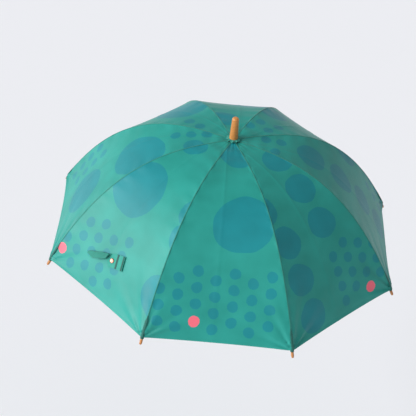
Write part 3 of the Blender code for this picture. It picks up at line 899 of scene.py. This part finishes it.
# ---- Seam welts and corner bindings ---------------------------------------------------------------
# The gores are joined by narrow felled seams that lie over the ribs, and each corner is bound to its
# rod with a few turns of dark thread. They are sewn of the canopy's own cloth, doubled.
def plain_cloth_material(name, light, dark):
    """Unprinted cloth or thread: matt, woven, with a soft bloom at its edges."""
    made, tree = new_material(name)
    flat = add_node(tree, "ShaderNodeUVMap", uv_map="cut").outputs["UV"]
    patch = uneven(tree, flat, 150.0, 150.0, 3.0)
    tone = add_node(
        tree, "ShaderNodeValToRGB", {"Fac": patch}, stops=((0.3, linear(dark)), (0.7, linear(light)))
    )
    look = {
        "Base Color": tone.outputs["Color"],
        "Roughness": 0.7,
        "Normal": weave_relief(tree, flat, 0.6, 0.2),
        "Sheen Weight": 0.2,
        "Sheen Roughness": 0.45,
    }
    finish_material(tree, look)
    return made


seam_cloth = plain_cloth_material("felled_seam_cloth", "#1C8476", "#177A6C")
# The tip pockets' cloth is darker than the canopy: painted shade for the gathered cloth at the rib tips.
pocket_painted_shade_cloth = plain_cloth_material("pocket_painted_shade_cloth", "#126A60", "#0D5A51")
sewing_thread = plain_cloth_material("sewing_thread", "#115A50", "#0C4A42")


BEAD_STEP = 4e-4  # how far round a bead one of its faces goes on its flat map


def flat_bead(name, centres, side, ups, widths, heights, finish, sides=12):
    """A low rounded strip along the centres: half width across, half height along each up."""
    points = []
    for centre, up, wide, high in zip(centres, ups, widths, heights):
        points += ring_points(centre, side * wide, up * high, sides)
    piece = mesh_piece(name, points, ring_faces(len(centres), sides), finish)
    cut = ring_uvs(lengths_along(centres), sides, BEAD_STEP)
    add_uv(piece, "cut", cut + [(0.0, 0.0)] * (2 * sides))
    outwards(piece)
    crease(piece, 60)
    return piece


def over_seam(radii, above, angle):
    """Centres that far above the cloth along a rib's seam, and the way up at each."""
    centres = turned_about_axis([below_cloth(r, -above) for r in radii], angle)
    ups = centres - turned_about_axis([below_cloth(r, 0.001) for r in radii], angle)
    return centres, ups / np.linalg.norm(ups, axis=1)[:, None]


WELT_HALF, WELT_HIGH = 0.0010, 0.00042
POCKET_LENGTH = 0.024
BINDING_TURNS, BINDING_R = 5.5, 0.0034
bind_start = below_cloth(CANOPY_R - 0.0026, 0.0022)
bind_end = tip_foot + tip_way * 0.0016
for k in range(RIBS):
    angle = FIRST_RIB + k * RIB_STEP
    side = turned_about_axis([(0.0, 1.0, 0.0)], angle)[0]
    for label, body, first, last, steps in (
        ("inner", f"rib_{k + 1}", 0.0105, SPLIT_R + 0.0004, 50),
        ("outer", f"rib_end_{k + 1}", SPLIT_R - 0.0004, CANOPY_R - 0.0002, 90),
    ):
        radii = np.linspace(first, last, steps)
        centres, ups = over_seam(radii, DOUBLED, angle)
        wide = WELT_HALF + 0.0001 * np.sin(radii * 900 + k)
        high = np.full(steps, WELT_HIGH)
        welt = flat_bead(f"seam_{label}_{k + 1}", centres, side, ups, wide, high, seam_cloth)
        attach(welt, body)
    radii = np.linspace(CANOPY_R - POCKET_LENGTH, CANOPY_R - 0.0008, 40)
    centres, ups = over_seam(radii, 0.0003, angle)
    run = (radii - radii[0]) / (radii[-1] - radii[0])
    wide = 0.0011 + 0.0018 * smooth_step(run / 0.3) + 0.00012 * np.sin(run * 23 + k)
    high = 0.0007 + 0.0007 * run
    pocket = flat_bead(f"tip_pocket_{k + 1}", centres, side, ups, wide, high, pocket_painted_shade_cloth, 20)
    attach(pocket, f"rib_end_{k + 1}")
    shares = np.linspace(0, 1, 60)
    line = turned_about_axis([bind_start + (bind_end - bind_start) * share for share in shares], angle)
    coils = np.abs(np.sin(shares * BINDING_TURNS * pi))
    swell = BINDING_R + 0.0003 * coils + 0.0004 * np.sin(shares * pi)
    swell *= np.clip(np.sqrt(np.minimum(shares, 1 - shares) / 0.06), 0.45, 1)
    binding = swept(f"corner_binding_{k + 1}", line, swell, sewing_thread, 24, layer_name="cut")
    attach(binding, f"rib_end_{k + 1}")


# ---- Hem stitching --------------------------------------------------------------------------------
# One lockstitch row in matching thread holds the turned-up hem, a stitch every 3.4 mm.
def stitch_tree(finish):
    """Geometry Nodes: short rounded stitches laid at an even pitch along the object's edges."""
    made, start, even = path_tree("stitch_row", ("Stitch Pitch", "Stitch Length", "Thread Radius"))
    ball = add_node(made, "GeometryNodeMeshUVSphere", {"Segments": 6, "Rings": 5, "Radius": 1.0})
    half = add_node(
        made, "ShaderNodeMath", {0: start.outputs["Stitch Length"], 1: 0.5}, operation="MULTIPLY"
    )
    thread_r = start.outputs["Thread Radius"]
    size = add_node(
        made, "ShaderNodeCombineXYZ", {"X": thread_r, "Y": thread_r, "Z": half.outputs["Value"]}
    )
    way = add_node(made, "GeometryNodeInputTangent")
    turn = add_node(
        made, "FunctionNodeAlignRotationToVector", {"Vector": way.outputs["Tangent"]}, axis="Z"
    )
    laid = add_node(
        made,
        "GeometryNodeInstanceOnPoints",
        {
            "Points": even,
            "Instance": ball.outputs["Mesh"],
            "Rotation": turn.outputs["Rotation"],
            "Scale": size.outputs["Vector"],
        },
    )
    finish_tree(made, laid.outputs["Instances"], finish)
    return made


# Spun polyester thread, half gloss; its twist is drawn at 0.7 mm to show.
polyester_thread = grained_material("polyester_thread", "#227A6E", "#2F8F82", 1500.0, 1.0, 0, 0.5)
stitch_row = stitch_tree(polyester_thread)
THREAD_R = 0.00022
HEM_STITCHES = {"Stitch Pitch": 0.0034, "Stitch Length": 0.0026, "Thread Radius": THREAD_R}
HEM_STITCH_UP = 0.0027  # how much shorter the stitch row's radius is than the hem's
for gore in range(1, RIBS + 1):
    across = np.linspace(-0.975, 0.975, 120)
    hem_r = CANOPY_R - HEM_ARCH * (1 - across**2)
    r = hem_r - HEM_STITCH_UP
    s, half_width = flat_s(r), r * sin(HALF)
    lift = puckers(s, across * half_width, half_width, flat_s(hem_r) - s, gore) + DOUBLED + CLOTH_T / 2
    line = turned_about_axis(gore_point(r, across, lift), gore_angle(gore))
    row = edge_path(f"hem_stitches_{gore}", line, polyester_thread)
    grown(row, stitch_row, HEM_STITCHES)
    folds(row, f"cloth_end_{gore}")


# ---- Ferrule and crown ruffle ---------------------------------------------------------------------
# A turned beech spike glued over the shaft's tenon, with a gathered frill of the canopy's cloth
# round its foot to keep rain out of the crown.
# Its lathe grooves are darkened 0.35 of the way to the pore colour: painted shade.
ferrule_beech = wood_material("ferrule_beech", "#D8964F", "#BC7636", "#7F4A20", 6.0, 0.35)
FERRULE_FOOT, FERRULE_TOP = CROWN_Z + 0.0018, CROWN_Z + 0.0562
FERRULE_FOOT_R, FERRULE_TIP_R = 0.0092, 0.0072
TAPER_FROM, TAPER_TO = FERRULE_FOOT + 0.004, FERRULE_TOP - 0.005
spike = [(0.0082, FERRULE_FOOT), (0.0089, FERRULE_FOOT + 0.0004), (FERRULE_FOOT_R, FERRULE_FOOT + 0.0014)]
spike.append((FERRULE_FOOT_R, TAPER_FROM))
for share in np.linspace(0.1, 1, 10):
    radius = FERRULE_FOOT_R + (FERRULE_TIP_R - FERRULE_FOOT_R) * share
    spike.append((radius, TAPER_FROM + share * (TAPER_TO - TAPER_FROM)))
for turn in np.linspace(0, pi / 2, 12)[1:]:
    height = TAPER_TO + (FERRULE_TOP - TAPER_TO) * sin(turn)
    spike.append((FERRULE_TIP_R * max(cos(turn) ** 0.55, 0.04), height))
line = [(0, 0, height) for _, height in spike]
ferrule = swept("turned_ferrule", line, [radius for radius, _ in spike], ferrule_beech, 56)
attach(ferrule, "stick")
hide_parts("ferrule")

frill_cloth = plain_cloth_material("frill_cloth", "#269083", "#1C8073")
FRILL_SIDES, FRILL_ROWS = 192, 12
FRILL_T = 0.0006
FRILL_INNER_R, FRILL_WIDE = 0.0094, 0.0058
FRILL_TOP, FRILL_FALL, FRILL_WAVE = 0.0046, 0.0019, 0.0015  # over the crown; the fall is from foot to rim
points = []
for lift in (FRILL_T, 0.0):
    for share in np.linspace(0, 1, FRILL_ROWS):
        for i in range(FRILL_SIDES):
            turn = 2 * pi * i / FRILL_SIDES
            fold = sin(11 * turn + 0.8 * sin(2 * turn)) + 0.45 * sin(19 * turn + 1.3)
            radius = FRILL_INNER_R + FRILL_WIDE * share + 0.0010 * share * sin(7 * turn + 0.6)
            height = FRILL_TOP - FRILL_FALL * share + FRILL_WAVE * share * fold
            points.append((radius * cos(turn), radius * sin(turn), CROWN_Z + max(height, 0.0009) + lift))
sheet = FRILL_ROWS * FRILL_SIDES
over = ring_faces(FRILL_ROWS, FRILL_SIDES)[:-2]
faces = over + [[sheet + q for q in (face[0], *face[:0:-1])] for face in over]
for first in (0, sheet - FRILL_SIDES):
    for i in range(FRILL_SIDES):
        a, b = first + i, first + (i + 1) % FRILL_SIDES
        faces.append([a, b, sheet + b, sheet + a] if first else [b, a, sheet + a, sheet + b])
frill = mesh_piece("crown_frill", points, faces, frill_cloth)
outwards(frill)
spots = np.array(points)
round_crown = np.arctan2(spots[:, 1], spots[:, 0]) * 0.012  # along its gathered middle, 12 mm out
lay_flat(frill, np.column_stack([round_crown, np.hypot(spots[:, 0], spots[:, 1])]))
crease(frill, 70)
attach(frill, "stick")
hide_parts("crown_ruffle")


# ---- Closing strap --------------------------------------------------------------------------------
# A doubled strap of the canopy's cloth, sewn down at one end through a folded patch, with one half of
# a press stud on it. Its free end is loose, and its upper edge has rolled over and shows the reverse.
STRAP_GORE = 2
# Places on the flat gore: distance from the crown, and across from the gore's middle.
STRAP_SEWN = np.array([0.3766, 0.0303])
STRAP_FREE = np.array([0.403, -0.064])
SNAP_AT = (0.3862, 0.0006)
STRAP_WIDTH, STRAP_T = 0.030, 0.0011
STRAP_OVER = 0.0011  # how far its underside lies over the cloth
ROLL_R, ROLL_TURN = 0.0028, radians(158)  # the rolled edge
FLAP_WIDE = 0.0135  # how much of the width has turned over, at most
FREE_DROP = 0.0120  # how far the free end hangs below the sewn end's line
strap_way = unit(STRAP_FREE - STRAP_SEWN)
strap_side = np.array([strap_way[1], -strap_way[0]])  # towards the crown
STRAP_LENGTH = float(np.linalg.norm(STRAP_FREE - STRAP_SEWN))


def on_strap_gore(s, t, lift):
    """Points over the strap's gore, from flat positions on it."""
    r = np.interp(s, profile_s, profile_r)
    points = gore_point(r, t / (r * sin(HALF)), lift)
    return turned_about_axis(np.reshape(points, (-1, 3)), gore_angle(STRAP_GORE))


def strap_point(u, v, above):
    """Points at share u of the length and v across, from -1 to 1, that far over the underside."""
    u, v = np.broadcast_arrays(np.asarray(u, float), np.asarray(v, float))
    # Past a third of its length the strap is loose, and its free end is cut round.
    loose = smooth_step((u - 0.33) / 0.13)
    rounded = np.sqrt(np.clip(1 - np.clip((u - 0.84) / 0.16, 0, 1) ** 2.4, 0.03, 1))
    width = STRAP_WIDTH * rounded
    run = (v + 1) / 2 * width
    # The width lies flat up to the roll's start, goes round its arc, and the rest stands on past it.
    turn = ROLL_TURN * loose
    flap = FLAP_WIDE * np.sin(pi * np.clip((u - 0.30) / 0.72, 0, 1)) ** 0.7
    start = np.maximum(width - ROLL_R * turn - flap * loose, 0.001)
    arc = np.clip((run - start) / ROLL_R, 0, turn)
    rest = np.maximum(run - start - ROLL_R * turn, 0)
    across = np.minimum(run, start) + ROLL_R * np.sin(arc) + rest * np.cos(arc)
    height = ROLL_R * (1 - np.cos(arc)) + rest * np.sin(arc)
    # It waves a little along its length, and the loose part hangs down.
    height = height + STRAP_OVER + 0.0004 * np.sin(u * 9) + 0.0012 * loose * (1 + np.sin(u * 11))
    across = across - above * np.sin(arc) - STRAP_WIDTH / 2 + (STRAP_WIDTH - width) / 2 * (1 - loose)
    across = across + (STRAP_WIDTH - start - ROLL_R) * loose + 0.0006 * loose * np.sin(u * 23)
    across = across - FREE_DROP * np.clip((u - 0.25) / 0.75, 0, 1)
    flat = STRAP_SEWN[:, None] + (STRAP_FREE - STRAP_SEWN)[:, None] * u.ravel()
    flat = flat + strap_side[:, None] * across.ravel()
    return on_strap_gore(flat[0], flat[1], (height + above * np.cos(arc)).ravel())


def strap_sheet(name, us, vs, above, thickness, faced, reverse=None):
    """A closed cloth layer over the strap's grid, that far over its underside."""
    u, v = [g.ravel() for g in np.meshgrid(us, vs, indexing="ij")]
    layers = [strap_point(u, v, above + thickness), strap_point(u, v, above)]
    top, under, rim = shell_faces(len(us), len(vs))
    over = top + rim
    piece = mesh_piece(name, np.concatenate(layers), over + under, faced)
    if reverse:
        piece.data.materials.append(reverse)
        piece.data.polygons.foreach_set("material_index", [0] * len(over) + [1] * len(under))
    outwards(piece)
    lay_flat(piece, np.tile(np.column_stack([u * STRAP_LENGTH, v * STRAP_WIDTH / 2]), (2, 1)))
    crease(piece, 50)
    return piece


strap_cloth = plain_cloth_material("strap_cloth", "#229888", "#1A8D7E")
# Painted shade: the strap's under faces, which show on the rolled flap, are a darker cloth.
strap_reverse_painted_shade = plain_cloth_material("strap_reverse_painted_shade", "#1C8677", "#167B6C")
PATCH_SHARE, PATCH_T = 0.15, 0.0012
us, vs = np.linspace(0, 1, 90), np.linspace(-1, 1, 61)
strap = strap_sheet("closing_strap", us, vs, 0.0, STRAP_T, strap_cloth, strap_reverse_painted_shade)
us, vs = np.linspace(-0.005, PATCH_SHARE, 12), np.linspace(-1.02, 1.02, 25)
patch = strap_sheet("strap_patch", us, vs, STRAP_T, PATCH_T, strap_cloth)
trims = [patch]
TACK_HIGH, TACK_POINTS = 0.0008, 40
vs = np.linspace(-0.99, 0.99, TACK_POINTS)
for number, (u0, above, half_wide) in enumerate(
    ((0.024, STRAP_T + PATCH_T, 0.0018), (PATCH_SHARE + 0.033, STRAP_T, 0.0026))
):
    centres = strap_point(u0, vs, above)
    ups = strap_point(u0, vs, above + 0.001) - centres
    ups /= np.linalg.norm(ups, axis=1)[:, None]
    middle = TACK_POINTS // 2
    side = unit(np.cross(ups[middle], centres[middle + 1] - centres[middle - 1]))
    wide = half_wide + 0.0002 * np.abs(np.sin(vs * 60))
    high = np.full(TACK_POINTS, TACK_HIGH)
    trims.append(flat_bead(f"bar_tack_{number + 1}", centres, side, ups, wide, high, sewing_thread))
STRAP_STITCHES = {"Stitch Pitch": 0.0032, "Stitch Length": 0.0024, "Thread Radius": THREAD_R}
for number, (v0, last) in enumerate(((-0.86, 0.80), (0.86, 0.34))):
    us = np.linspace(PATCH_SHARE + 0.03, last, 50)
    row = edge_path(f"strap_stitches_{number + 1}", strap_point(us, v0, STRAP_T), polyester_thread)
    trims.append(grown(row, stitch_row, STRAP_STITCHES))

# A press stud: a rolled rim, a dished cap and a low boss, pressed from brass and plated rose.
rose_plate = metal_material("rose_plated_brass", "#D9A08E", 0.30, 2.0)
SNAP_LIFT = STRAP_OVER + STRAP_T + 0.0004
snap_base, snap_above = on_strap_gore(
    np.full(2, SNAP_AT[0]), np.full(2, SNAP_AT[1]), np.array([SNAP_LIFT, SNAP_LIFT + 0.005])
)
snap_up = unit(snap_above - snap_base)
snap_side = unit(np.cross(snap_up, [0.0, 0.0, 1.0]))
snap_other = np.cross(snap_up, snap_side)
SNAP_R, SNAP_SIDES = 0.0050, 48
rim = [(0.90, 0.0), (1.0, 0.0003), (1.02, 0.0009), (0.97, 0.0014), (0.88, 0.0016), (0.78, 0.0013)]
rim += [(0.60, 0.0010), (0.46, 0.0011), (0.40, 0.0017), (0.30, 0.0020)]
points = []
for share, height in rim:
    spoke = share * SNAP_R
    centre = snap_base + snap_up * height
    points += ring_points(centre, snap_side * spoke, snap_other * spoke, SNAP_SIDES)
points.append(snap_base + snap_up * 0.0021)
*faces, boss = ring_faces(len(rim), SNAP_SIDES)
faces += [[a, b, len(points) - 1] for a, b in zip(boss, boss[1:] + boss[:1])]
stud = mesh_piece("press_stud", points, faces, rose_plate)
outwards(stud)
crease(stud, 40)
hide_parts("strap")
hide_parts("snap")
for piece in [strap, stud, *trims]:
    folds(piece, f"cloth_end_{STRAP_GORE}")


# ---- Update ---------------------------------------------------------------------------------------
# The scene is brought up to date.
bpy.context.view_layer.update()
